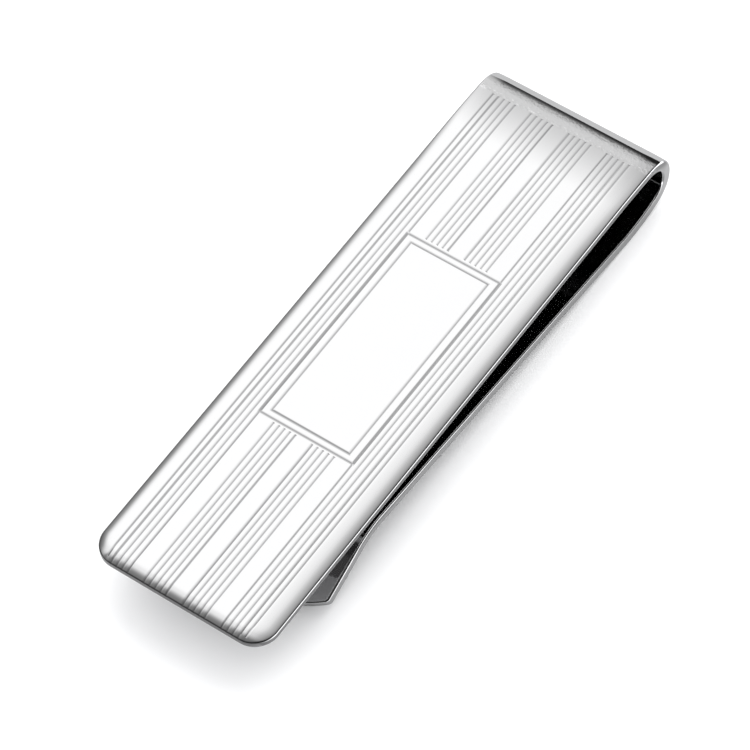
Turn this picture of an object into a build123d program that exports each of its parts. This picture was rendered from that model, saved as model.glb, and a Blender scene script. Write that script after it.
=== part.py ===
from build123d import *
from math import asin, cos, radians, sin
import os

# A one-piece folded money clip, lying on its back with its engraved front up.
# +Z is up, +Y points to the fold, X runs across the strip.
# The origin is under the middle of the clip, on the surface that it lies on.
#
# The clip is one strip of spring metal. It is modelled as the zones of that strip that
# stay stiff between its flexing lines, so that each zone is a solid of its own. The
# zones follow one centre line: front plate, three bends of the fold, tongue root,
# tongue, grip ridge and entry lip.

# ---------------------------------------------------------------- driving dimensions, mm
strip_width = 17.65
strip_thickness = 1.1
clip_length = 58.6

# the fold: a tight upper quarter, a tighter lower one, and a long easy run into the tongue
upper_fold_outer_radius = 3.2
lower_fold_outer_radius = 2.83
root_outer_radius = 14.5
lower_fold_turn = 75.0          # degrees
bend_split_turn = 55.0          # degrees of the fold in each of its three bends

# the tongue rises from the fold to the grip ridge, then the lip falls away again
tongue_rise = 5.5               # degrees
ridge_start_y = -12.9
ridge_centre_radius = 5.9
ridge_turn = 30.0               # degrees
lip_length = 7.2
lip_tip_radius = 9.3            # the two shoulders of the lip's rounded end
lip_tip_flat = 6.0              # straight middle of the lip's end
lip_corner_radius = 0.5

# the strip's long edges
crown_width = 1.75              # the outer side rolls over along its edges
crown_drop = 0.38
plain_drop = 0.02               # what is left of the crown past the fold
outer_arris = 0.2               # polished round where the crown meets the edge face
inner_arris = 0.15              # polished round on every other sharp edge
front_corner_radius = 2.25

# the engraving on the front plate
line_pitch = 0.56
line_groups = 4
lines_per_group = 5
group_pitch = 7 * line_pitch
line_width = 0.28
line_depth = 0.047
frame_line_width = 0.3
frame_line_depth = 0.052
cartouche_width = 17 * line_pitch
cartouche_length = 21.1
cartouche_top_y = 10.07
inner_frame_side_inset = 0.8
inner_frame_end_inset = 0.63
line_gap_at_cartouche = 0.28
line_top_runout = 0.2           # how far short of the fold the lines stop

# ---------------------------------------------------------------- worked-out dimensions
half_width = strip_width / 2
half_thickness = strip_thickness / 2
upper_centre_radius = upper_fold_outer_radius - half_thickness
lower_centre_radius = lower_fold_outer_radius - half_thickness
root_centre_radius = root_outer_radius - half_thickness
upper_fold_turn = 90.0
fold_turn = upper_fold_turn + lower_fold_turn
root_turn = 180.0 + tongue_rise - fold_turn
fold_start_y = clip_length / 2 - upper_fold_outer_radius
front_end_y = -clip_length / 2

# The strip's lowest line is where the root runs level, so the height follows from the
# three radii of the fold.
root_centre_above_fold_end = root_centre_radius * cos(radians(180.0 - fold_turn))
fold_end_below_top = (
    upper_fold_outer_radius + lower_centre_radius * sin(radians(lower_fold_turn))
)
clip_height = fold_end_below_top - root_centre_above_fold_end + root_outer_radius
front_top_z = clip_height
front_centre_z = clip_height - half_thickness
front_under_z = clip_height - strip_thickness


# ---------------------------------------------------------------- the centre line
# A station is a point (y, z) on the centre line with its heading in degrees. Heading 0
# points along +Y. The strip turns clockwise round the fold and back at the ridge.
def turn_clockwise(station, radius, angle):
    """The station after a clockwise arc, and the arc's centre."""
    y, z, heading = station
    centre_y = y + radius * sin(radians(heading))
    centre_z = z - radius * cos(radians(heading))
    new_heading = heading - angle
    new_y = centre_y - radius * sin(radians(new_heading))
    new_z = centre_z + radius * cos(radians(new_heading))
    return (new_y, new_z, new_heading), (centre_y, centre_z)


def turn_anticlockwise(station, radius, angle):
    """The station after an anticlockwise arc, and the arc's centre."""
    return turn_clockwise(station, -radius, -angle)


def go_straight(station, distance):
    """The station after a straight run."""
    y, z, heading = station
    return (y + distance * cos(radians(heading)), z + distance * sin(radians(heading)), heading)


def section_plane(station):
    """The plane across the strip: its y points to the strip's outer side."""
    y, z, heading = station
    return Plane(
        origin=(0, y, z),
        x_dir=(-1, 0, 0),
        z_dir=(0, cos(radians(heading)), sin(radians(heading))),
    )


fold_start = (fold_start_y, front_centre_z, 0.0)
upper_end, upper_centre = turn_clockwise(fold_start, upper_centre_radius, bend_split_turn)
side_point, _ = turn_clockwise(fold_start, upper_centre_radius, upper_fold_turn)
crown_lower_turn = 2 * bend_split_turn - upper_fold_turn
crown_end, lower_centre = turn_clockwise(side_point, lower_centre_radius, crown_lower_turn)
fold_end, _ = turn_clockwise(side_point, lower_centre_radius, lower_fold_turn)
root_end, root_centre = turn_clockwise(fold_end, root_centre_radius, root_turn)
tongue_length = (root_end[0] - ridge_start_y) / cos(radians(tongue_rise))
ridge_start = go_straight(root_end, tongue_length)
ridge_end, ridge_centre = turn_anticlockwise(ridge_start, ridge_centre_radius, ridge_turn)
lip_end = go_straight(ridge_end, lip_length)


def strip_section(plane, drop):
    """The strip's cross-section: flat inside, crowned by drop along its outer edges."""
    crown_start = half_width - crown_width
    edge_n = half_thickness - drop
    with BuildSketch(plane) as section:
        with BuildLine():
            Line((-crown_start, half_thickness), (crown_start, half_thickness))
            TangentArc((crown_start, half_thickness), (half_width, edge_n), tangent=(1, 0))
            TangentArc((-crown_start, half_thickness), (-half_width, edge_n), tangent=(-1, 0))
            Polyline(
                (half_width, edge_n),
                (half_width, -half_thickness),
                (-half_width, -half_thickness),
                (-half_width, edge_n),
            )
        make_face()
        side_corners = section.vertices().filter_by(
            lambda v: abs(abs(v.X) - half_width) < half_thickness / 10
        )
        fillet(side_corners.filter_by(lambda v: v.Y > 0), outer_arris)
        fillet(section.vertices().filter_by(lambda v: v.Y < -half_thickness / 2), inner_arris)
    return section.sketch


def cross_axis(centre):
    """The line across the strip through the centre of an arc."""
    return Axis((0, centre[0], centre[1]), (-1, 0, 0))


def v_profile(width, depth):
    """A V-cutter's outline: its tip is at depth, and it is as wide as the line at the face."""
    return [(-width, depth), (width, depth), (0, -depth)]


def lines_along(places, low_y, high_y, width, depth):
    """V-cutters that run along Y at each x in places."""
    start = Plane(origin=(0, high_y, front_top_z), x_dir=(1, 0, 0), z_dir=(0, -1, 0))
    with BuildPart() as cutters:
        with BuildSketch(start):
            with Locations([(x, 0) for x in places]):
                Polygon(*v_profile(width, depth), align=None)
        extrude(amount=high_y - low_y)
    return cutters.part


def lines_across(places, half_length, width, depth):
    """V-cutters that run along X at each y in places."""
    start = Plane(origin=(-half_length, 0, front_top_z), x_dir=(0, 1, 0), z_dir=(1, 0, 0))
    with BuildPart() as cutters:
        with BuildSketch(start):
            with Locations([(y, 0) for y in places]):
                Polygon(*v_profile(width, depth), align=None)
        extrude(amount=2 * half_length)
    return cutters.part


# ---------------------------------------------------------------- front plate
front_length = fold_start_y - front_end_y
trim = 0.3                      # the blank is this much oversize before its rim is shaped

with BuildPart() as front_plate:
    with BuildSketch(Plane.XY.offset(front_under_z)):
        with Locations((0, fold_start_y - (front_length + trim) / 2)):
            Rectangle(strip_width + 2 * trim, front_length + trim)
    extrude(amount=strip_thickness)

    # The rim is one path round the free edge. Its cutter leaves the crown, the upper arris
    # and the upright edge face.
    rim_y = fold_start_y + trim
    with BuildLine(Plane.XY.offset(front_top_z)) as rim:
        FilletPolyline(
            (-half_width, rim_y),
            (-half_width, front_end_y),
            (half_width, front_end_y),
            (half_width, rim_y),
            radius=front_corner_radius,
        )
    rim_start = Plane(origin=(-half_width, rim_y, front_top_z), x_dir=(1, 0, 0), z_dir=(0, -1, 0))
    with BuildSketch(rim_start) as rim_cutter:
        with BuildLine():
            TangentArc((crown_width, 0), (0, -crown_drop), tangent=(-1, 0))
            Polyline(
                (0, -crown_drop),
                (0, -strip_thickness - trim),
                (-front_corner_radius, -strip_thickness - trim),
                (-front_corner_radius, trim),
                (crown_width, trim),
                (crown_width, 0),
            )
        make_face()
        fillet(rim_cutter.vertices().sort_by_distance((0, -crown_drop, 0))[0], outer_arris)
    sweep(path=rim.wires()[0], mode=Mode.SUBTRACT)
    under_edges = front_plate.faces().sort_by(Axis.Z)[0].edges().sort_by(Axis.Y)
    fillet(under_edges[:-1], inner_arris)

    # Engraved lines in groups, the middle ones stopping at the cartouche.
    half_span = ((line_groups - 1) * group_pitch + (lines_per_group - 1) * line_pitch) / 2
    line_places = [
        group * group_pitch + line * line_pitch - half_span
        for group in range(line_groups)
        for line in range(lines_per_group)
    ]
    half_cartouche = cartouche_width / 2
    reach = line_pitch / 2
    outer_lines = [x for x in line_places if abs(x) > half_cartouche - reach]
    broken_lines = [x for x in line_places if abs(x) < half_cartouche - reach]
    line_top_y = fold_start_y - line_top_runout
    cartouche_low_y = cartouche_top_y - cartouche_length
    gap = line_gap_at_cartouche
    add(lines_along(outer_lines, front_end_y, line_top_y, line_width, line_depth),
        mode=Mode.SUBTRACT)
    add(lines_along(broken_lines, front_end_y, cartouche_low_y - gap, line_width, line_depth),
        mode=Mode.SUBTRACT)
    add(lines_along(broken_lines, cartouche_top_y + gap, line_top_y, line_width, line_depth),
        mode=Mode.SUBTRACT)

    # The cartouche is a double engraved frame round a plain field.
    for side_inset, end_inset in ((0, 0), (inner_frame_side_inset, inner_frame_end_inset)):
        side_x = half_cartouche - side_inset
        low_y = cartouche_low_y + end_inset
        high_y = cartouche_top_y - end_inset
        overlap = frame_line_width / 2
        add(lines_along([-side_x, side_x], low_y - overlap, high_y + overlap,
                        frame_line_width, frame_line_depth), mode=Mode.SUBTRACT)
        add(lines_across([low_y, high_y], side_x + overlap,
                         frame_line_width, frame_line_depth), mode=Mode.SUBTRACT)

front_plate.part.label = "front_plate"

# ---------------------------------------------------------------- the three bends
with BuildPart() as upper_bend:
    revolve(
        strip_section(section_plane(fold_start), crown_drop),
        axis=cross_axis(upper_centre),
        revolution_arc=bend_split_turn,
    )

upper_bend.part.label = "upper_bend"

# The crown dies away round the middle bend, so this one is lofted through its sections.
fade_steps = 8
with BuildPart() as crown_bend:
    bend_sections = []
    for step in range(fade_steps + 1):
        turned = bend_split_turn * step / fade_steps
        upper_part = min(turned, upper_fold_turn - bend_split_turn)
        station, _ = turn_clockwise(upper_end, upper_centre_radius, upper_part)
        station, _ = turn_clockwise(station, lower_centre_radius, turned - upper_part)
        faded_drop = crown_drop + (plain_drop - crown_drop) * step / fade_steps
        bend_sections.append(strip_section(section_plane(station), faded_drop))
    loft(bend_sections)

crown_bend.part.label = "crown_bend"

with BuildPart() as lower_bend:
    revolve(
        strip_section(section_plane(crown_end), plain_drop),
        axis=cross_axis(lower_centre),
        revolution_arc=fold_turn - 2 * bend_split_turn,
    )

lower_bend.part.label = "lower_bend"

# ---------------------------------------------------------------- tongue
with BuildPart() as tongue_root:
    revolve(
        strip_section(section_plane(fold_end), plain_drop),
        axis=cross_axis(root_centre),
        revolution_arc=root_turn,
    )

tongue_root.part.label = "tongue_root"

with BuildPart() as tongue:
    extrude(strip_section(section_plane(root_end), plain_drop), amount=tongue_length)

tongue.part.label = "tongue"

with BuildPart() as grip_ridge:
    revolve(
        strip_section(section_plane(ridge_start), plain_drop),
        axis=cross_axis(ridge_centre).reverse(),
        revolution_arc=ridge_turn,
    )

grip_ridge.part.label = "grip_ridge"

# The lip ends in a straight middle and two round shoulders, and its corners are eased.
lip_heading = radians(ridge_end[2])
lip_face = Plane(
    origin=(0, ridge_end[0], ridge_end[1]),
    x_dir=(1, 0, 0),
    z_dir=(0, -sin(lip_heading), cos(lip_heading)),
)
half_flat = lip_tip_flat / 2
shoulder_turn = asin((half_width - half_flat) / lip_tip_radius)
shoulder_back = lip_length - lip_tip_radius * (1 - cos(shoulder_turn))
with BuildPart() as entry_lip:
    with BuildSketch(lip_face) as lip_outline:
        with BuildLine():
            Polyline(
                (-half_width, shoulder_back), (-half_width, 0), (half_width, 0),
                (half_width, shoulder_back),
            )
            TangentArc((half_flat, lip_length), (half_width, shoulder_back), tangent=(1, 0))
            TangentArc((-half_flat, lip_length), (-half_width, shoulder_back), tangent=(-1, 0))
            Line((-half_flat, lip_length), (half_flat, lip_length))
        make_face()
        lip_corners = lip_outline.vertices().filter_by(
            lambda v: abs(v.Y - shoulder_back) < lip_corner_radius
        )
        fillet(lip_corners, lip_corner_radius)
    extrude(amount=half_thickness, both=True)
    ridge_side = entry_lip.faces().sort_by(Axis.Y)[-1]
    rim_edges = [
        edge
        for face in entry_lip.faces().filter_by(lip_face)
        for edge in face.edges()
        if edge.center().Y < ridge_side.center().Y - strip_thickness
    ]
    fillet(rim_edges, inner_arris)

entry_lip.part.label = "entry_lip"

# ---------------------------------------------------------------- write the pieces
os.makedirs("parts", exist_ok=True)
export_step(front_plate.part, "parts/front_plate.step")
export_step(upper_bend.part, "parts/upper_bend.step")
export_step(crown_bend.part, "parts/crown_bend.step")
export_step(lower_bend.part, "parts/lower_bend.step")
export_step(tongue_root.part, "parts/tongue_root.step")
export_step(tongue.part, "parts/tongue.step")
export_step(grip_ridge.part, "parts/grip_ridge.step")
export_step(entry_lip.part, "parts/entry_lip.step")
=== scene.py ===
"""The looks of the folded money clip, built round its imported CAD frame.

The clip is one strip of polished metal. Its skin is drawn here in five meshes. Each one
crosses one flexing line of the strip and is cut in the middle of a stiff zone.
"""
from math import atan, atan2, ceil, cos, degrees, pi, radians, sin, sqrt, tan

import bmesh
import bpy
from mathutils import Matrix, Vector
from mathutils.geometry import delaunay_2d_cdt


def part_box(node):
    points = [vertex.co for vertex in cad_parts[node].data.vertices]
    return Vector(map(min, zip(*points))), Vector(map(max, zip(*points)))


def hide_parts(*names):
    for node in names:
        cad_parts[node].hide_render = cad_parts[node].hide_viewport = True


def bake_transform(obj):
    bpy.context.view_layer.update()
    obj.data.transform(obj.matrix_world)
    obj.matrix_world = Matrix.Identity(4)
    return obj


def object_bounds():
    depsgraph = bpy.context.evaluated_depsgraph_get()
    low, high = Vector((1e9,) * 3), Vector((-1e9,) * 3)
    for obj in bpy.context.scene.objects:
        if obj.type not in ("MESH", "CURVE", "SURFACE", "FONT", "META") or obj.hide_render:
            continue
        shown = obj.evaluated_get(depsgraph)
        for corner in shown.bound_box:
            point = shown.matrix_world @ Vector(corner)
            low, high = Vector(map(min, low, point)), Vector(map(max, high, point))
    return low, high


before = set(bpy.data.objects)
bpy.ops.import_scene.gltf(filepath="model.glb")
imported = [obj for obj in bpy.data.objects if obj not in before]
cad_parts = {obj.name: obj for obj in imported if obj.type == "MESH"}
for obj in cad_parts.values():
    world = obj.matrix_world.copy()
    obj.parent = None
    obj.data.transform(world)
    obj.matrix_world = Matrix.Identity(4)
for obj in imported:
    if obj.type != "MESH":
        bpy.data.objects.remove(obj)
cad_low, cad_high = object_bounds()

# ---------------------------------------------------------------- sizes, in mm
MM = 0.001
plate_low, plate_high = (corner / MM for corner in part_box("front_plate"))
HALF_WIDTH = plate_high.x
THICKNESS = plate_high.z - plate_low.z
HALF_THICK = THICKNESS / 2
TOP_Z = plate_high.z
FOLD_START_Y = plate_high.y
PLATE_LENGTH = plate_high.y - plate_low.y

# the strip's path: radii of the outer side, turns in degrees
UPPER_FOLD_RADIUS = cad_high.y / MM - FOLD_START_Y
LOWER_FOLD_RADIUS = 2.83
ROOT_RADIUS = 14.5
UPPER_TURN = 90.0
LOWER_TURN = 75.0
BEND_SPLIT = 55.0
TONGUE_RISE = 5.5
ROOT_TURN = 180.0 + TONGUE_RISE - UPPER_TURN - LOWER_TURN
RIDGE_START_Y = -12.9
RIDGE_CENTRE_RADIUS = 5.9
RIDGE_TURN = 30.0
LIP_LENGTH = 7.2

# the strip's section: crowned along its outer edges, with a polished round on each arris
CROWN_WIDTH = 1.75
END_CROWN_WIDTH = 1.2           # the crown is narrower along the plate's free end
CROWN_DROP = 0.38
FOLD_CROWN_DROP = 0.28          # what is left of the crown where the fold starts
CROWN_FADE_LENGTH = 10.0        # how far before the fold it starts to fade
CROWN_GONE = 90.0               # degrees round the fold
CROWN_FADE_POWER = 1.5          # it dies away fast at first, then slowly
OUTER_ARRIS = 0.2
INNER_ARRIS = 0.15
TONGUE_INNER_ARRIS = 0.17
LIP_INNER_ARRIS = 0.28          # rounder, so that notes slide in
LIP_ARRIS_LENGTH = 1.2          # how far up the lip it takes to grow

# the free ends
PLATE_CORNER_RADIUS = 2.25
RIM = 0.3                       # width of the rim that follows a leaf's outline
LIP_FLAT = 3.0                  # half of the straight middle of the lip's end
LIP_SHOULDER_RADIUS = 9.3
LIP_CORNER_RADIUS = 0.5

# the engraving
PITCH = 0.56
LINE_GROUPS = 4
LINES_PER_GROUP = 5
PITCHES_PER_GROUP = 7
LINE_WIDTH = 0.28
LINE_DEPTH = 0.047
LINE_FADE_LENGTH = 0.02         # the lines stop short at the fold
LINE_TOP_RUNOUT = 0.2
LINE_END_RAMP = 0.06
CARTOUCHE_TOP_Y = 10.07
CARTOUCHE_LENGTH = 21.1
CARTOUCHE_HALF_WIDTH = 8.5 * PITCH
CARTOUCHE_GAP = 0.28
INNER_SIDE_INSET = 0.8
INNER_END_INSET = 0.63
FRAME_LINE_WIDTH = 0.3
FRAME_END_LINE_WIDTH = 0.24     # the cuts across the strip are finer
FRAME_LINE_DEPTH = 0.052

# the plate starts to bend a little before its fold
EASE_LENGTH = 5.0
EASE_SLOPE = 3.5                # degrees, where the fold starts
EASE_RETURN = 4.0               # how far round the fold it takes to come back to the true path

# mesh fineness
ROW_STEP = 1.0
EASE_STEP = 0.5                 # rows where the plate starts to bend
END_STEP = 0.12                 # rows near the plate's free end
CROWN_STEP = 0.15               # columns over the crown
FLAT_STEP = 2.0                 # columns over the flat
INNER_SIDE_SKIP = (8, 2)        # a leaf's inner side takes every 8th column and every 2nd row
RIM_STEPS = 3                   # points from the rim to the outer arris
ARRIS_STEPS = 8
EDGE_STEPS = 2
ARRIS_ROUNDS = 6                # rounds to find where the outer arris meets the crown
BEND_STEP = 1.5                 # degrees, as are the three steps below
PLATE_CORNER_STEP = 3.75
LIP_CORNER_STEP = 7.5
LIP_SHOULDER_STEP = 2.5
SEAM_ROW = 0.15                 # degrees or mm: a thin row at each cut keeps the shading true
CUT_GUARD = 0.07                # how far beyond an engraved cut its guard row or column lies
SHARP_ANGLE = 25.0              # degrees: edges sharper than this are not smoothed
BORDER_GAP = 0.04               # no lattice point is nearer than this to a face's border
DECIMALS = 5                    # lattice places are rounded to this many decimals
WELD = 0.001                    # points nearer than this are one
FILL_INSIDE = 1                 # the triangulation's mode: fill the border's inside
FILL_TOLERANCE = 1e-6


# ---------------------------------------------------------------- the centre line
# A station is (y, z, heading in degrees). Heading 0 points along +Y.
def turn(station, radius, angle):
    """The station after a clockwise arc. A negative radius and angle turn the other way."""
    y, z, heading = station
    centre_y = y + radius * sin(radians(heading))
    centre_z = z - radius * cos(radians(heading))
    heading -= angle
    return (centre_y - radius * sin(radians(heading)),
            centre_z + radius * cos(radians(heading)), heading)


def go(station, distance):
    """The station after a straight run."""
    y, z, heading = station
    return (y + distance * cos(radians(heading)), z + distance * sin(radians(heading)), heading)


upper_radius = UPPER_FOLD_RADIUS - HALF_THICK
lower_radius = LOWER_FOLD_RADIUS - HALF_THICK
root_radius = ROOT_RADIUS - HALF_THICK
fold_start = (FOLD_START_Y, TOP_Z - HALF_THICK, 0.0)
fold_side = turn(fold_start, upper_radius, UPPER_TURN)
fold_end = turn(fold_side, lower_radius, LOWER_TURN)
root_end = turn(fold_end, root_radius, ROOT_TURN)
tongue_length = (root_end[0] - RIDGE_START_Y) / cos(radians(TONGUE_RISE))
ridge_start = go(root_end, tongue_length)
ridge_end = turn(ridge_start, -RIDGE_CENTRE_RADIUS, -RIDGE_TURN)


def fold_station(turned):
    """The station at a number of degrees round the fold, root included."""
    if turned <= UPPER_TURN:
        return turn(fold_start, upper_radius, turned)
    if turned <= UPPER_TURN + LOWER_TURN:
        return turn(fold_side, lower_radius, turned - UPPER_TURN)
    return turn(fold_end, root_radius, turned - UPPER_TURN - LOWER_TURN)


def ease(past_fold_start):
    """How far the strip dips below its true path, at a distance along it past the fold's start."""
    slope = tan(radians(EASE_SLOPE))
    deepest = slope * EASE_LENGTH / 2
    if past_fold_start <= 0:
        return deepest * max(0.0, 1 + past_fold_start / EASE_LENGTH) ** 2
    part = min(1.0, past_fold_start / EASE_RETURN)
    falling = 2 * part ** 3 - 3 * part ** 2 + 1
    running_on = part ** 3 - 2 * part ** 2 + part
    return deepest * falling + slope * EASE_RETURN * running_on


def in_space(station, across, out):
    """The point in space, in mm, at a place across the strip and out from its centre line."""
    y, z, heading = station
    return (across, y - out * sin(radians(heading)), z + out * cos(radians(heading)))


def even_steps(start, end, step):
    """Values from start to end in even steps, both ends included."""
    count = max(1, ceil(abs(end - start) / step))
    return [start + (end - start) * i / count for i in range(count + 1)]


def with_seam_rows(values):
    """The values with one more next to each end, for true shading at a cut."""
    way = 1 if values[-1] > values[0] else -1
    return [values[0], values[0] + way * SEAM_ROW] + values[1:-1] + [
        values[-1] - way * SEAM_ROW, values[-1]]


# ---------------------------------------------------------------- the section
def crown(distance, drop, width=CROWN_WIDTH):
    """How far the outer side has dropped at a distance in from the strip's side."""
    into = max(0.0, width - distance)
    return drop * (into / width) ** 2


def rim_profile(drop, width=CROWN_WIDTH, more_arris=0.0):
    """Points (distance in from the side, out from the centre line) round the strip's side.

    They run from the outer side at the rim, over the arris, the edge face and the inner arris,
    to the inner side at the rim."""
    start = OUTER_ARRIS
    for _ in range(ARRIS_ROUNDS):
        slope = atan(2 * drop * (width - start) / width ** 2)
        start = OUTER_ARRIS * (1 - sin(slope))
    points = [(d, HALF_THICK - crown(d, drop, width))
              for d in even_steps(RIM, start, (RIM - start) / RIM_STEPS)]
    centre_out = points[-1][1] - OUTER_ARRIS * cos(slope)
    for i in range(1, ARRIS_STEPS + 1):
        angle = slope + (pi / 2 - slope) * i / ARRIS_STEPS
        points.append((OUTER_ARRIS * (1 - sin(angle)), centre_out + OUTER_ARRIS * cos(angle)))
    crowned = min(1, drop / FOLD_CROWN_DROP)
    arris = TONGUE_INNER_ARRIS + (INNER_ARRIS - TONGUE_INNER_ARRIS) * crowned + more_arris
    low_edge = arris - HALF_THICK
    for i in range(1, EDGE_STEPS + 1):
        points.append((0.0, centre_out + (low_edge - centre_out) * i / EDGE_STEPS))
    for i in range(1, ARRIS_STEPS + 1):
        angle = pi / 2 + pi / 2 * i / ARRIS_STEPS
        points.append((arris * (1 - sin(angle)), low_edge + arris * cos(angle)))
    points.append((RIM, -HALF_THICK))
    return points


def strip_loop(columns, drop):
    """Points (across, out) once round the strip's section, starting on its outer side."""
    outer = [(x, HALF_THICK - crown(HALF_WIDTH - abs(x), drop)) for x in columns]
    side = rim_profile(drop)[1:-1]
    right = [(HALF_WIDTH - d, out) for d, out in side]
    inner = [(x, -HALF_THICK) for x in reversed(columns)]
    left = [(d - HALF_WIDTH, out) for d, out in reversed(side)]
    return outer + right + inner + left


class Skin:
    """A mesh being made: its points in mm, and its faces."""

    def __init__(self):
        self.points = []
        self.faces = []
        self.engraved = []

    def add(self, points, engraved=0.0):
        """Adds points, with one tone of engraving or one for each, and returns their numbers."""
        first = len(self.points)
        if isinstance(engraved, float):
            engraved = [engraved] * len(points)
        self.points += points
        self.engraved += engraved
        return list(range(first, len(self.points)))

    def join(self, row, next_row, closed=False):
        """Fills the space between two rows of as many points; doubled corners are dropped."""
        count = len(row)
        for i in range(count if closed else count - 1):
            j = (i + 1) % count
            corners = [row[i], row[j], next_row[j], next_row[i]]
            kept = [c for k, c in enumerate(corners) if c != corners[k - 1]]
            if len(kept) > 2:
                self.faces.append(kept)

    def sweep(self, stations, drops, columns):
        """Draws the strip along stations and returns its last loop of points."""
        loop = None
        for station, drop in zip(stations, drops):
            points = [in_space(station, x, out) for x, out in strip_loop(columns, drop)]
            new_loop = self.add(points)
            if loop is not None:
                self.join(loop, new_loop, closed=True)
            loop = new_loop
        return loop

    def cap(self, loop):
        """Closes the end of the strip."""
        self.faces.append(list(loop))

    def to_object(self, name, material):
        """Makes the Blender object, smooth but for the engraving's edges."""
        mesh = bpy.data.meshes.new(name)
        mesh.from_pydata([Vector(p) * MM for p in self.points], [], self.faces)
        cut = mesh.attributes.new("engraved", "FLOAT", "POINT")
        cut.data.foreach_set("value", self.engraved)
        work = bmesh.new()
        work.from_mesh(mesh)
        bmesh.ops.remove_doubles(work, verts=work.verts, dist=WELD * MM)
        bmesh.ops.recalc_face_normals(work, faces=work.faces)
        work.to_mesh(mesh)
        work.free()
        mesh.materials.append(material)
        mesh.shade_smooth()
        mesh.set_sharp_from_angle(angle=radians(SHARP_ANGLE))
        made = bpy.data.objects.new(name, mesh)
        bpy.context.scene.collection.objects.link(made)
        return made


# ---------------------------------------------------------------- flat leaves
def outline_arc(centre, radius, start, end, step):
    """Outline stations (x, y, outward x, outward y) round a convex corner, angles in degrees."""
    turns = [radians(a) for a in even_steps(start, end, step)]
    return [(centre[0] + radius * cos(a), centre[1] + radius * sin(a), cos(a), sin(a))
            for a in turns]


def mirrored(outline):
    """The outline's other half, in its own order."""
    return [(-x, y, -out_x, out_y) for x, y, out_x, out_y in reversed(outline)]


def fill_face(skin, contour, columns, rows, to_space, out_at, creases=()):
    """Fills one face of a leaf with a lattice of columns and rows, cut to its contour."""
    flat = [Vector(p) for p in contour]
    border = list(range(len(flat)))
    kept = {}
    for x in columns:
        for y in rows:
            if inside(x, y, contour):
                kept[x, y] = len(flat)
                flat.append(Vector((x, y)))
    edges = [(kept[a], kept[b]) for a, b in creases]
    filled = delaunay_2d_cdt(flat, edges, [border], FILL_INSIDE, FILL_TOLERANCE)
    _, _, faces, sources, _, _ = filled
    spots = [flat[came_from[0]] for came_from in sources]
    numbers = skin.add([to_space(x, y, out_at(x, y)[0]) for x, y in spots],
                       [out_at(x, y)[1] for x, y in spots])
    skin.faces += [[numbers[i] for i in face] for face in faces]


def inside(x, y, contour):
    """Whether a point is inside a convex contour, and not too near its edge."""
    for (ax, ay), (bx, by) in zip(contour, contour[1:] + contour[:1]):
        length = sqrt((bx - ax) ** 2 + (by - ay) ** 2)
        if ((bx - ax) * (y - ay) - (by - ay) * (x - ax)) / length < BORDER_GAP:
            return False
    return True


def add_leaf(skin, outline, columns, rows, drop_at, to_space, cut_at, creases=(),
             more_arris_at=lambda y: 0.0):
    """Draws a leaf of the strip that ends in an outline: its rim and both of its faces.

    The engraving that cut_at gives runs out over the rim's outer arris."""
    def top_at(x, y):
        """How far out the outer side is at a point, and its tone of engraving."""
        cut = cut_at(x, y)
        distance, width = rim_place(x, y)
        return HALF_THICK - crown(distance, drop_at(y), width) - cut, cut / LINE_DEPTH

    contour = [(x - RIM * out_x, y - RIM * out_y) for x, y, out_x, out_y in outline]
    previous = None
    for (x, y, out_x, out_y), (rim_x, rim_y) in zip(outline, contour):
        cut = cut_at(rim_x, rim_y)
        drop = drop_at(y)
        ring = []
        for d, out in rim_profile(drop, crown_width_at(out_y), more_arris_at(y)):
            share = ramp(out - HALF_THICK + drop + OUTER_ARRIS, OUTER_ARRIS)
            ring += skin.add([to_space(x - d * out_x, y - d * out_y, out - share * cut)],
                             share * cut / LINE_DEPTH)
        if previous is not None:
            skin.join(previous, ring)
        previous = ring
    open_y = outline[-1][1]
    contour += [(x, open_y) for x in reversed(columns[1:-1])]
    area = sum(ax * by - bx * ay for (ax, ay), (bx, by) in zip(contour, contour[1:] + contour[:1]))
    if area < 0:
        contour.reverse()
    fill_face(skin, contour, columns, rows, to_space, top_at, creases)
    skip_columns, skip_rows = INNER_SIDE_SKIP
    fill_face(skin, contour, columns[::skip_columns], rows[::skip_rows], to_space,
              lambda x, y: (-HALF_THICK, 0.0))


# ---------------------------------------------------------------- the engraving
half_span = ((LINE_GROUPS - 1) * PITCHES_PER_GROUP + LINES_PER_GROUP - 1) * PITCH / 2
line_places = [
    (group * PITCHES_PER_GROUP + line) * PITCH - half_span
    for group in range(LINE_GROUPS)
    for line in range(LINES_PER_GROUP)
]
line_top_y = FOLD_START_Y - LINE_TOP_RUNOUT
cartouche_middle_y = CARTOUCHE_TOP_Y - CARTOUCHE_LENGTH / 2
frames = [
    (CARTOUCHE_HALF_WIDTH, CARTOUCHE_LENGTH / 2),
    (CARTOUCHE_HALF_WIDTH - INNER_SIDE_INSET, CARTOUCHE_LENGTH / 2 - INNER_END_INSET),
]
corner_x = HALF_WIDTH - PLATE_CORNER_RADIUS
plate_end_y = FOLD_START_Y - PLATE_LENGTH
corner_y = plate_end_y + PLATE_CORNER_RADIUS


def ramp(value, length):
    """0 at a value of 0 or less, rising evenly to 1 at length."""
    return min(1.0, max(0.0, value / length))


def line_depth_at(x, y):
    """How deep the nearest engraved line is cut at a point of the plate."""
    place = min(line_places, key=lambda p: abs(p - x))
    depth = LINE_DEPTH * ramp(LINE_WIDTH / 2 - abs(x - place), LINE_WIDTH / 2)
    depth *= ramp(line_top_y - y, LINE_FADE_LENGTH)
    if abs(place) < CARTOUCHE_HALF_WIDTH:
        past_end = abs(y - cartouche_middle_y) - CARTOUCHE_LENGTH / 2 - CARTOUCHE_GAP
        depth *= ramp(past_end, LINE_END_RAMP)
    return depth


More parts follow.
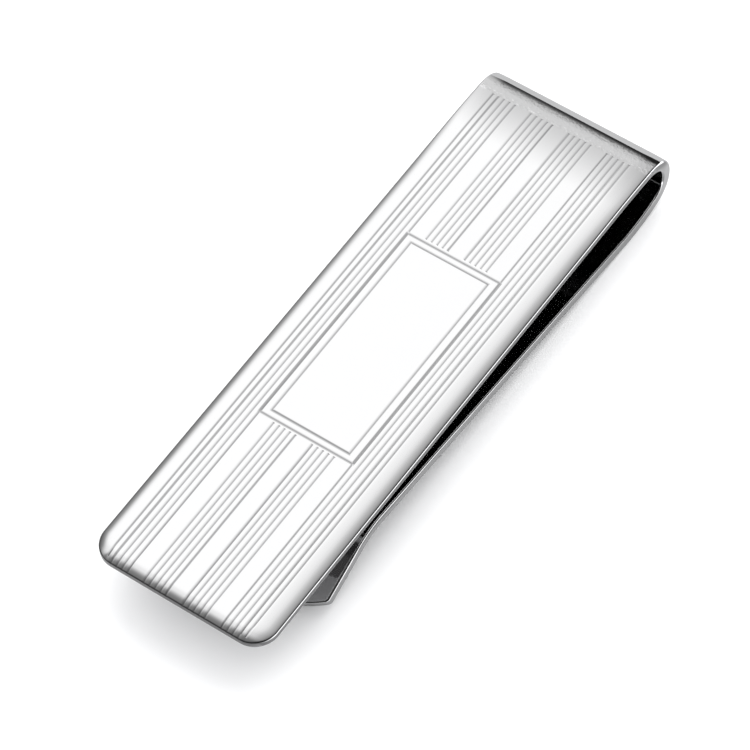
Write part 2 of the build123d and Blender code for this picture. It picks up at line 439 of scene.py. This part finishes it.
def frame_depth_at(x, y):
    """How deep the cartouche's frames are cut at a point of the plate."""
    deepest = 0.0
    for half_x, half_y in frames:
        off_side = (abs(x) - half_x) / (FRAME_LINE_WIDTH / 2)
        off_end = (abs(y - cartouche_middle_y) - half_y) / (FRAME_END_LINE_WIDTH / 2)
        cut = FRAME_LINE_DEPTH * ramp(1 - abs(max(off_side, off_end)), 1)
        deepest = max(deepest, cut)
    return deepest


def crown_width_at(out_y):
    """The crown's width where the outline's outward direction has this y."""
    return CROWN_WIDTH + (END_CROWN_WIDTH - CROWN_WIDTH) * out_y ** 2


def rim_place(x, y):
    """The distance from a point of the plate to its outline, and the crown's width there."""
    if y < corner_y and abs(x) > corner_x:
        reach = sqrt((abs(x) - corner_x) ** 2 + (y - corner_y) ** 2)
        return PLATE_CORNER_RADIUS - reach, crown_width_at((y - corner_y) / reach)
    if abs(x) > corner_x:
        return HALF_WIDTH - abs(x), CROWN_WIDTH
    return y - plate_end_y, END_CROWN_WIDTH


def plate_drop(y):
    """The crown's drop along the plate: it starts to fade before the fold."""
    faded = ramp(y - FOLD_START_Y + CROWN_FADE_LENGTH, CROWN_FADE_LENGTH)
    return CROWN_DROP + (FOLD_CROWN_DROP - CROWN_DROP) * faded


def engraving_at(x, y):
    """How deep the plate is engraved at a point."""
    return max(line_depth_at(x, y), frame_depth_at(x, y))


# ---------------------------------------------------------------- the five pieces of skin
def with_edges(places, width):
    """Each place with the edges of the cut that is centred on it, and a guard beyond each.

    The guards keep the shading of a cut's edge from spreading over the flat."""
    reaches = (0.0, width / 2, width / 2 + CUT_GUARD)
    return [place + side * reach for place in places for reach in reaches for side in (-1, 1)]


def in_order(values):
    """The values in order, each once."""
    return sorted({round(value, DECIMALS) for value in values})


crown_columns = [HALF_WIDTH - d for d in even_steps(RIM, CROWN_WIDTH, CROWN_STEP)]
plain_columns = in_order([side * x for x in crown_columns for side in (-1, 1)]
                         + even_steps(corner_x, -corner_x, FLAT_STEP))
frame_sides = [side * half_x for half_x, _ in frames for side in (-1, 1)]
plate_columns = in_order(plain_columns + with_edges(line_places, LINE_WIDTH)
                         + with_edges(frame_sides, FRAME_LINE_WIDTH))
frame_ends = [cartouche_middle_y + side * half_y for _, half_y in frames for side in (-1, 1)]
line_ends = [cartouche_middle_y + side * (CARTOUCHE_LENGTH / 2 + CARTOUCHE_GAP + more)
             for side in (-1, 1) for more in (0.0, LINE_END_RAMP)]
# the last row is the fold's start, which belongs to the outline only
plate_rows = in_order(
    even_steps(plate_end_y + RIM, corner_y, END_STEP)
    + even_steps(corner_y, FOLD_START_Y - EASE_LENGTH, ROW_STEP)
    + even_steps(FOLD_START_Y - EASE_LENGTH, line_top_y - LINE_FADE_LENGTH, EASE_STEP)
    + [line_top_y, FOLD_START_Y]
    + with_edges(frame_ends, FRAME_END_LINE_WIDTH) + line_ends)


def plate_outline():
    """The plate's outline, from the left end of the fold round to its right end."""
    side = [(-HALF_WIDTH, y, -1.0, 0.0) for y in reversed(plate_rows) if y > corner_y]
    corner = outline_arc((-corner_x, corner_y), PLATE_CORNER_RADIUS, 180, 270,
                         PLATE_CORNER_STEP)
    end = [(x, plate_end_y, 0.0, -1.0) for x in plate_columns if -corner_x < x <= 0]
    half = side + corner + end
    return half + mirrored([station for station in half if station[0] < 0])


def mitres():
    """The creases across the frames' corners, as pairs of lattice points."""
    pairs = []
    edge_x = FRAME_LINE_WIDTH / 2
    edge_y = FRAME_END_LINE_WIDTH / 2
    for half_x, half_y in frames:
        for way_x in (-1, 1):
            for way_y in (-1, 1):
                spots = [
                    (round(way_x * (half_x + more * edge_x), DECIMALS),
                     round(cartouche_middle_y + way_y * (half_y + more * edge_y), DECIMALS))
                    for more in (-1, 0, 1)
                ]
                pairs += [(spots[0], spots[1]), (spots[1], spots[2])]
    return pairs


def lip_outline():
    """The lip's outline in its own flat, from the ridge's left end round to its right end."""
    shoulder_y = LIP_LENGTH - LIP_SHOULDER_RADIUS
    corner_across = HALF_WIDTH - LIP_CORNER_RADIUS
    reach = LIP_SHOULDER_RADIUS - LIP_CORNER_RADIUS
    corner_up = shoulder_y + sqrt(reach ** 2 - (corner_across - LIP_FLAT) ** 2)
    meeting = 180 - degrees(atan2(corner_up - shoulder_y, corner_across - LIP_FLAT))
    side = [(-HALF_WIDTH, y, -1.0, 0.0) for y in even_steps(0.0, corner_up, ROW_STEP)]
    corner = outline_arc((-corner_across, corner_up), LIP_CORNER_RADIUS, 180, meeting,
                         LIP_CORNER_STEP)
    shoulder = outline_arc((-LIP_FLAT, shoulder_y), LIP_SHOULDER_RADIUS, meeting, 90,
                           LIP_SHOULDER_STEP)
    middle = [(x, LIP_LENGTH, 0.0, 1.0) for x in even_steps(-LIP_FLAT, 0.0, ROW_STEP)]
    half = side[:-1] + corner + shoulder[1:] + middle[1:]
    return half + mirrored(half[:-1])


# ---------------------------------------------------------------- materials
def node(tree, kind, inputs=None, **settings):
    """Adds a shader node, sets it up and links its inputs."""
    made = tree.nodes.new(kind)
    for name, value in settings.items():
        setattr(made, name, value)
    for name, value in (inputs or {}).items():
        if isinstance(value, bpy.types.NodeSocket):
            tree.links.new(value, made.inputs[name])
        else:
            made.inputs[name].default_value = value
    return made


# a mix node's inputs by number: its two numbers, its two colours, and its output colour
MIX_FROM, MIX_TO = 2, 3
MIX_COLOUR_FROM, MIX_COLOUR_TO = 6, 7
MIX_COLOUR_OUT = 2

SILVER = (0.82, 0.82, 0.825, 1)
# the engraving's silver is darkened as painted shade in the cuts
CUT_SILVER_PAINTED_SHADE = (0.72, 0.72, 0.73, 1)
ROUGHNESS = (0.035, 0.075)
CUT_ROUGHNESS = 0.12            # how much rougher the engraving is
# the pebbled band along the strip: where it has gone and where it is full, at either end
PEBBLED_Y = [(FOLD_START_Y - 0.3, FOLD_START_Y + 0.3), (FOLD_START_Y + 1.5, FOLD_START_Y + 0.9)]


def polished_metal():
    """Mirror-polished metal: faint buffing marks, slight haze, and a rougher engraving darkened
    with painted shade.
    """
    material = bpy.data.materials.new("polished_metal_skin")
    material.use_nodes = True
    tree = material.node_tree
    shader = tree.nodes["Principled BSDF"]
    place = node(tree, "ShaderNodeTexCoord").outputs["Object"]
    in_mm = node(tree, "ShaderNodeVectorMath", {0: place, 1: (1000, 1000, 1000)},
                 operation="MULTIPLY").outputs["Vector"]
    engraved = node(tree, "ShaderNodeAttribute", attribute_name="engraved").outputs["Fac"]

    # haze: soft patches where the polish is a little less bright
    haze = node(tree, "ShaderNodeTexNoise", {"Vector": in_mm, "Scale": 0.35, "Detail": 4.0})
    roughness = node(tree, "ShaderNodeMapRange", {
        "Value": haze.outputs["Fac"], "From Min": 0.3, "From Max": 0.7,
        "To Min": ROUGHNESS[0], "To Max": ROUGHNESS[1]})
    rougher = node(tree, "ShaderNodeMath",
                   {0: engraved, 1: CUT_ROUGHNESS, 2: roughness.outputs[0]},
                   operation="MULTIPLY_ADD")
    tree.links.new(rougher.outputs[0], shader.inputs["Roughness"])

    # colour: silver, darkened down in the engraving with painted shade
    colour = node(tree, "ShaderNodeMix", {
        "Factor": engraved, MIX_COLOUR_FROM: SILVER, MIX_COLOUR_TO: CUT_SILVER_PAINTED_SHADE},
        data_type="RGBA")
    tree.links.new(colour.outputs[MIX_COLOUR_OUT], shader.inputs["Base Color"])

    # relief: hair-fine buffing marks along the strip and the slow swell of a polished skin
    stretched = node(tree, "ShaderNodeMapping", {"Vector": in_mm, "Scale": (9.0, 0.25, 0.25)})
    marks = node(tree, "ShaderNodeTexNoise", {
        "Vector": stretched.outputs[0], "Scale": 1.0, "Detail": 5.0, "Roughness": 0.6})
    swell = node(tree, "ShaderNodeTexNoise", {"Vector": in_mm, "Scale": 0.16, "Detail": 1.0})
    fine = node(tree, "ShaderNodeBump", {
        "Height": marks.outputs["Fac"], "Strength": 0.02, "Distance": 0.00002})
    soft = node(tree, "ShaderNodeBump", {
        "Height": swell.outputs["Fac"], "Normal": fine.outputs[0], "Strength": 0.02,
        "Distance": 0.0002})
    # the skin is pebbled where the metal was bent hardest
    along = node(tree, "ShaderNodeSeparateXYZ", {"Vector": in_mm}).outputs["Y"]
    pebbles = node(tree, "ShaderNodeTexNoise", {
        "Vector": in_mm, "Scale": 3.0, "Detail": 3.0, "Roughness": 0.6})
    pebbled = node(tree, "ShaderNodeMath", {0: pebbles.outputs["Fac"], 1: 0.5},
                   operation="SUBTRACT").outputs[0]
    for gone, full in PEBBLED_Y:
        share = node(tree, "ShaderNodeMapRange", {
            "Value": along, "From Min": gone, "From Max": full},
            interpolation_type="SMOOTHSTEP").outputs[0]
        pebbled = node(tree, "ShaderNodeMath", {0: pebbled, 1: share},
                       operation="MULTIPLY").outputs[0]
    bent = node(tree, "ShaderNodeBump", {
        "Height": pebbled, "Normal": soft.outputs[0], "Strength": 0.2, "Distance": 0.0002})
    tree.links.new(bent.outputs[0], shader.inputs["Normal"])
    shader.inputs["Metallic"].default_value = 1.0
    return material


# painted shade: the table is dimmer in the metal than to the camera
TABLE_PAINTED_SHADE_IN_METAL = 0.412          # the table's tone in the metal, against its tone to the camera
# In the metal the table carries painted shade and light: dark in front of the clip, dim close to
# its
# right side and bright farther out: along an axis, from and to in mm, and the tone at each end.
TABLE_PAINTED_TONES = [
    ("Y", (-38.0, -26.0), 0.05, 1.0),
    ("X", (10.4, 11.0), 1.0, 0.55),
    ("X", (12.6, 13.4), 1.0, 4.6),
]


def floor_material():
    """Matt white card, overexposed as the camera sees it and less bright to the metal, where it
    carries painted shade and painted light.
    """
    material = bpy.data.materials.new("white_card_painted_in_metal")
    material.use_nodes = True
    tree = material.node_tree
    shader = tree.nodes["Principled BSDF"]
    grain = node(tree, "ShaderNodeTexNoise", {"Scale": 400.0, "Detail": 3.0})
    shade = node(tree, "ShaderNodeMapRange", {
        "Value": grain.outputs["Fac"], "To Min": 0.90, "To Max": 0.92})
    spot = node(tree, "ShaderNodeSeparateXYZ", {
        "Vector": node(tree, "ShaderNodeTexCoord").outputs["Object"]}).outputs
    painted_tone_in_metal = TABLE_PAINTED_SHADE_IN_METAL
    for side, reach, low, high in TABLE_PAINTED_TONES:
        tone = node(tree, "ShaderNodeMapRange", {
            "Value": spot[side], "From Min": reach[0] * MM, "From Max": reach[1] * MM,
            "To Min": low, "To Max": high}, interpolation_type="SMOOTHSTEP").outputs[0]
        painted_tone_in_metal = node(tree, "ShaderNodeMath", {0: tone, 1: painted_tone_in_metal},
                        operation="MULTIPLY").outputs[0]
    # the camera sees the card white; every other ray sees the painted shade and light
    seen = node(tree, "ShaderNodeLightPath").outputs["Is Camera Ray"]
    white_or_painted_tone = node(tree, "ShaderNodeMix", {
        "Factor": seen, MIX_FROM: painted_tone_in_metal, MIX_TO: 1.0}).outputs[0]
    level = node(tree, "ShaderNodeMath", {0: shade.outputs[0], 1: white_or_painted_tone},
                 operation="MULTIPLY").outputs[0]
    tree.links.new(level, shader.inputs["Base Color"])
    shader.inputs["Roughness"].default_value = 1.0
    shader.inputs["Specular IOR Level"].default_value = 0.0
    return material


# ---------------------------------------------------------------- making the skin
metal = polished_metal()
half_bend = BEND_SPLIT / 2
cuts = [half_bend + BEND_SPLIT * i for i in range(3)] + [UPPER_TURN + LOWER_TURN + ROOT_TURN / 2]
fold_turn = UPPER_TURN + LOWER_TURN
full_turn = fold_turn + ROOT_TURN


def fold_drop(turned):
    """The crown's drop at a number of degrees round the fold, where it dies away."""
    return FOLD_CROWN_DROP * (1 - ramp(turned, CROWN_GONE)) ** CROWN_FADE_POWER


def eased_fold_station(turned):
    """The station at a number of degrees round the fold, dipped by the ease of its start."""
    y, z, heading = fold_station(turned)
    _, dipped_y, dipped_z = in_space((y, z, heading), 0, -ease(radians(turned) * UPPER_FOLD_RADIUS))
    return (dipped_y, dipped_z, heading)


def fold_sweep(skin, turns, columns):
    """Draws part of the fold and returns its last loop."""
    stations = [eased_fold_station(turned) for turned in turns]
    return skin.sweep(stations, [fold_drop(turned) for turned in turns], columns)


def finish_piece(skin, name, node_names):
    """Makes the piece and hides the CAD nodes that it stands for."""
    piece = skin.to_object(name, metal)
    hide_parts(*node_names)
    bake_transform(piece)


def plate_space(x, y, out):
    """The point in space at a point of the plate and out from its centre line."""
    return (x, y, TOP_Z - HALF_THICK + out - ease(y - FOLD_START_Y))


def lip_space(x, y, out):
    """The point in space at a point of the lip's own flat and out from its centre line."""
    return in_space(go(ridge_end, y), x, out)


def more_lip_arris(y):
    """How much rounder than the tongue's the lip's inner arris is, at a distance up the lip."""
    return (LIP_INNER_ARRIS - TONGUE_INNER_ARRIS) * ramp(y, LIP_ARRIS_LENGTH)


front = Skin()
add_leaf(front, plate_outline(), plate_columns, plate_rows[:-1], plate_drop, plate_space,
         engraving_at, mitres())
front.cap(fold_sweep(front, with_seam_rows(even_steps(0.0, cuts[0], BEND_STEP)), plate_columns))
finish_piece(front, "front_plate_skin", ["front_plate"])

bends = [
    ("upper_fold_skin", "upper_bend", ("crown_bend", "upper_bend")),
    ("side_fold_skin", "crown_bend", ("lower_bend", "crown_bend")),
    ("lower_fold_skin", "lower_bend", ("tongue_root", "lower_bend")),
]
for (name, replaced, bodies), low_turn, high_turn in zip(bends, cuts, cuts[1:]):
    skin = Skin()
    turns = with_seam_rows(even_steps(low_turn, high_turn, BEND_STEP))
    skin.cap(fold_sweep(skin, turns[:1], plain_columns))
    skin.cap(fold_sweep(skin, turns, plain_columns))
    ends = [Vector(in_space(fold_station(turned), 0, 0)) for turned in (low_turn, high_turn)]
    finish_piece(skin, name, [replaced])

tongue = Skin()
turns = with_seam_rows(even_steps(cuts[-1], full_turn, BEND_STEP / 3))
tongue.cap(fold_sweep(tongue, turns[:1], plain_columns))
fold_sweep(tongue, turns, plain_columns)
runs = [go(root_end, distance) for distance in even_steps(0.0, tongue_length, ROW_STEP)]
ridge_turns = even_steps(0.0, RIDGE_TURN, BEND_STEP)
runs += [turn(ridge_start, -RIDGE_CENTRE_RADIUS, -turned) for turned in ridge_turns[1:]]
tongue.sweep(runs, [0.0] * len(runs), plain_columns)
add_leaf(tongue, lip_outline(), plain_columns, even_steps(0.0, LIP_LENGTH, ROW_STEP)[1:],
         lambda y: 0.0, lip_space, lambda x, y: 0.0, more_arris_at=more_lip_arris)
finish_piece(tongue, "tongue_skin", ["tongue_root", "tongue", "grip_ridge", "entry_lip"])

# ---------------------------------------------------------------- the table and the light
TABLE_SIDE = 6.0                # metres


def plane(name, side, material):
    """A square on the table's level."""
    mesh = bpy.data.meshes.new(name)
    half = side / 2
    mesh.from_pydata([(-half, -half, 0), (half, -half, 0), (half, half, 0), (-half, half, 0)],
                     [], [(0, 1, 2, 3)])
    mesh.materials.append(material)
    made = bpy.data.objects.new(name, mesh)
    bpy.context.scene.collection.objects.link(made)
    return made


plane("table", TABLE_SIDE, floor_material())

# How bright the softbox over the clip is, seen from the clip, by how far the direction leans
# across the strip (its x) and along it (its y). It hangs over the clip's left side and fades
# away slowly to the right.
ACROSS_GLOW = [
    (-1, 0.02), (-0.88, 0.12), (-0.83, 0.28), (-0.813, 0.36), (-0.79, 0.57), (-0.765, 0.73),
    (-0.74, 0.88), (-0.71, 0.97), (-0.64, 1.0), (-0.37, 1.0), (-0.22, 0.90), (-0.06, 0.84),
    (0.05, 0.745), (0.19, 0.50), (0.33, 0.27), (0.48, 0.12), (0.7, 0.07), (1, 0.02),
]
ALONG_GLOW = [
    (-1, 0.02), (-0.80, 0.08), (-0.57, 0.16), (-0.46, 0.20), (-0.39, 0.27), (-0.33, 0.38),
    (-0.26, 0.54), (-0.19, 0.68), (-0.12, 0.79), (0.03, 0.85), (0.22, 0.97), (0.35, 1.0),
    (0.46, 1.0), (0.53, 0.70), (0.57, 0.56), (0.63, 0.62), (0.68, 0.68), (0.76, 0.62),
    (0.85, 0.45), (0.91, 0.09), (0.93, 0.02), (1, 0.01),
]
SOFTBOX_STRENGTH = 1.22
ROOM_LIGHT = (1.28, 1.285, 1.30, 1)     # what the whole room gives to matt surfaces


def light_room():
    """A softbox in a dark studio. The polished metal is a mirror, so it shows in the metal."""
    world = bpy.data.worlds.new("studio")
    bpy.context.scene.world = world
    world.use_nodes = True
    tree = world.node_tree
    looking = node(tree, "ShaderNodeTexCoord").outputs["Generated"]
    direction = node(tree, "ShaderNodeSeparateXYZ", {"Vector": looking}).outputs

    def glow(lean, levels):
        """The softbox's brightness by how far the direction leans to one side."""
        part = node(tree, "ShaderNodeMapRange", {
            "Value": lean, "From Min": -1.0, "From Max": 1.0}).outputs[0]
        levels_node = node(tree, "ShaderNodeValToRGB", {"Fac": part})
        stops = levels_node.color_ramp.elements
        for place, (leaning, level) in enumerate(levels):
            position = (leaning + 1) / 2
            # a new ramp already has two stops
            stop = stops[place] if place < 2 else stops.new(position)
            stop.position = position
            stop.color = (level, level, level, 1)
        return levels_node.outputs["Color"]

    softbox = node(tree, "ShaderNodeMath", {
        0: glow(direction["X"], ACROSS_GLOW), 1: glow(direction["Y"], ALONG_GLOW)},
        operation="MULTIPLY").outputs[0]
    shown = node(tree, "ShaderNodeMath", {0: softbox, 1: SOFTBOX_STRENGTH},
                 operation="MULTIPLY").outputs[0]
    matt = node(tree, "ShaderNodeLightPath").outputs["Is Diffuse Ray"]
    light = node(tree, "ShaderNodeMix", {
        "Factor": matt, MIX_COLOUR_FROM: shown, MIX_COLOUR_TO: ROOM_LIGHT},
        data_type="RGBA").outputs[MIX_COLOUR_OUT]
    tree.links.new(light, tree.nodes["Background"].inputs["Color"])


light_room()

# the key light only casts the soft shadow: it isn't seen in the metal
KEY_DIRECTION = (-0.12, 0.62, 0.75)
KEY_DISTANCE = 0.6              # metres, as is its size
KEY_SIZE = 0.8
KEY_ENERGY = 2.7
key_data = bpy.data.lights.new("key", "AREA")
key_data.shape = "DISK"
key_data.size = KEY_SIZE
key_data.energy = KEY_ENERGY
key = bpy.data.objects.new("key", key_data)
key.location = Vector(KEY_DIRECTION).normalized() * KEY_DISTANCE
key.rotation_euler = Vector(KEY_DIRECTION).to_track_quat("Z", "Y").to_euler()
key.visible_glossy = False
bpy.context.scene.collection.objects.link(key)

# ---------------------------------------------------------------- the camera
CAMERA_AZIMUTH = 42.62          # degrees, as are the elevation and the roll
CAMERA_ELEVATION = 56.63
CAMERA_ROLL = 8.31
CAMERA_DISTANCE = 410.11        # mm, as are the target, the lens and the sensor
CAMERA_TARGET = (-0.203, -1.478, 3.215)
CAMERA_LENS = 236.1
CAMERA_SENSOR = 36.0
CAMERA_CLIP = 0.01              # metres

azimuth = radians(CAMERA_AZIMUTH)
elevation = radians(CAMERA_ELEVATION)
backwards = Vector((sin(azimuth) * cos(elevation), -cos(azimuth) * cos(elevation),
                    sin(elevation)))
camera_data = bpy.data.cameras.new("camera")
camera_data.lens = CAMERA_LENS
camera_data.sensor_width = CAMERA_SENSOR
camera_data.clip_start = CAMERA_CLIP
camera = bpy.data.objects.new("camera", camera_data)
upright = backwards.to_track_quat("Z", "Y").to_matrix()
camera.matrix_world = (
    Matrix.Translation((Vector(CAMERA_TARGET) + backwards * CAMERA_DISTANCE) * MM)
    @ (upright @ Matrix.Rotation(radians(-CAMERA_ROLL), 3, "Z")).to_4x4()
)
bpy.context.scene.collection.objects.link(camera)
bpy.context.scene.camera = camera
bpy.context.scene.view_settings.view_transform = "Standard"
